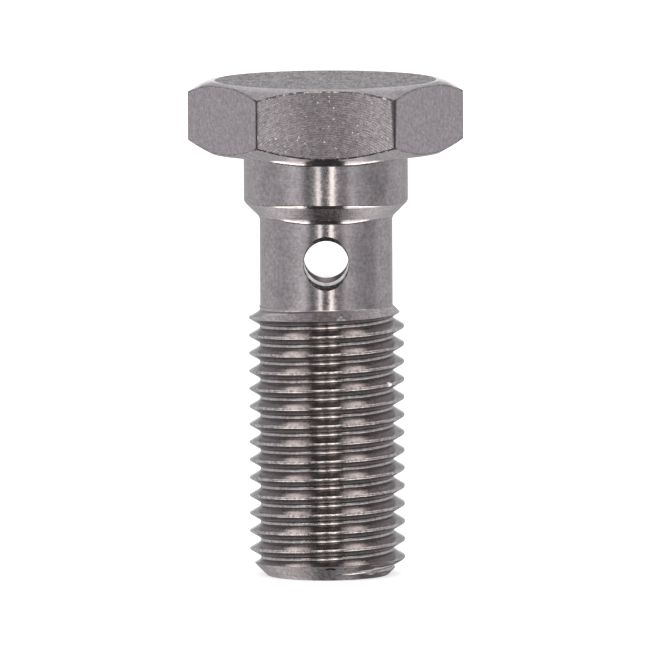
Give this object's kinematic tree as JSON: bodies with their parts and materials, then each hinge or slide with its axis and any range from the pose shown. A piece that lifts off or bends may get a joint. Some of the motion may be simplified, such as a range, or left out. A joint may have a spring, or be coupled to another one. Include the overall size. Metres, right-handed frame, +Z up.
{
  "type": "banjo bolt",
  "caption": "Hex head banjo bolt with a collar, a drilled waist, a hollow shank and a fine right-hand thread.",
  "frame": {"origin": "centre of the flat end face at the tip, on which the bolt stands", "axes": "+Z up along the shank's axis toward the hexagon head, Y along the cross hole, square to two flats of the hexagon, X across its corners"},
  "size_m": [0.0196, 0.017, 0.0354],
  "materials": {
    "bolt_steel": "turned and ground bare metal, satin, with fine scratches"
  },
  "bodies": {
    "root": {"banjo_bolt": "bolt_steel"}
  },
  "joints": []
}
